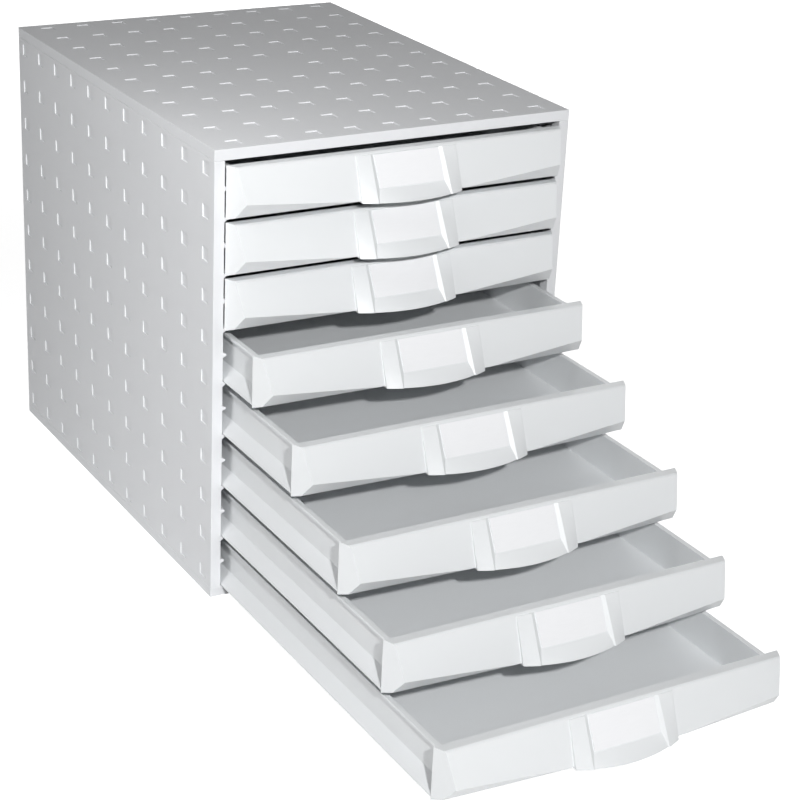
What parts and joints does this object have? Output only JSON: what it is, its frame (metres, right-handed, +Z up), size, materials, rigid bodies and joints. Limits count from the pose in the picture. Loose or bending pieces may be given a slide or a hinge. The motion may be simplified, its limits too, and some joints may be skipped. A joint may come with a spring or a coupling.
{
  "type": "desktop drawer unit",
  "caption": "Desktop filing unit in pale plastic: a flat case with shallow paper drawers that slide out on moulded rails, each with an awning handle over a label bed.",
  "frame": {"origin": "middle of the case's flat underside, on the surface that the unit stands on", "axes": "+X to the right as seen from the drawers' side, the drawers open towards -Y, +Z up"},
  "size_m": [0.288, 0.7052, 0.341],
  "materials": {
    "case_plastic": "light grey moulded plastic with a fine satin grain",
    "tray_plastic": "near-white moulded plastic, satin",
    "front_plastic": "cool near-white moulded plastic, satin",
    "label_card": "blank white card, matt"
  },
  "bodies": {
    "case": {"top_panel": "case_plastic", "base_panel": "case_plastic", "left_side_panel": "case_plastic", "right_side_panel": "case_plastic", "back_panel": "case_plastic"},
    "drawer_1": {"tray_1": "tray_plastic", "front_1": "front_plastic", "label_card_1": "label_card"},
    "drawer_2": {"tray_2": "tray_plastic", "front_2": "front_plastic", "label_card_2": "label_card"},
    "drawer_3": {"tray_3": "tray_plastic", "front_3": "front_plastic", "label_card_3": "label_card"},
    "drawer_4": {"tray_4": "tray_plastic", "front_4": "front_plastic", "label_card_4": "label_card"},
    "drawer_5": {"tray_5": "tray_plastic", "front_5": "front_plastic", "label_card_5": "label_card"},
    "drawer_6": {"tray_6": "tray_plastic", "front_6": "front_plastic", "label_card_6": "label_card"},
    "drawer_7": {"tray_7": "tray_plastic", "front_7": "front_plastic", "label_card_7": "label_card"},
    "drawer_8": {"tray_8": "tray_plastic", "front_8": "front_plastic", "label_card_8": "label_card"}
  },
  "joints": [
    {"name": "drawer_1_slide", "type": "slide", "parent": "case", "child": "drawer_1", "axis": [0, -1, 0], "range_m": [0, 0.308]},
    {"name": "drawer_2_slide", "type": "slide", "parent": "case", "child": "drawer_2", "axis": [0, -1, 0], "range_m": [0, 0.308]},
    {"name": "drawer_3_slide", "type": "slide", "parent": "case", "child": "drawer_3", "axis": [0, -1, 0], "range_m": [0, 0.308]},
    {"name": "drawer_4_slide", "type": "slide", "parent": "case", "child": "drawer_4", "axis": [0, -1, 0], "range_m": [-0.04497, 0.26303]},
    {"name": "drawer_5_slide", "type": "slide", "parent": "case", "child": "drawer_5", "axis": [0, -1, 0], "range_m": [-0.10564, 0.20236]},
    {"name": "drawer_6_slide", "type": "slide", "parent": "case", "child": "drawer_6", "axis": [0, -1, 0], "range_m": [-0.17433, 0.13367]},
    {"name": "drawer_7_slide", "type": "slide", "parent": "case", "child": "drawer_7", "axis": [0, -1, 0], "range_m": [-0.23562, 0.07238]},
    {"name": "drawer_8_slide", "type": "slide", "parent": "case", "child": "drawer_8", "axis": [0, -1, 0], "range_m": [-0.30184, 0.00616]}
  ]
}
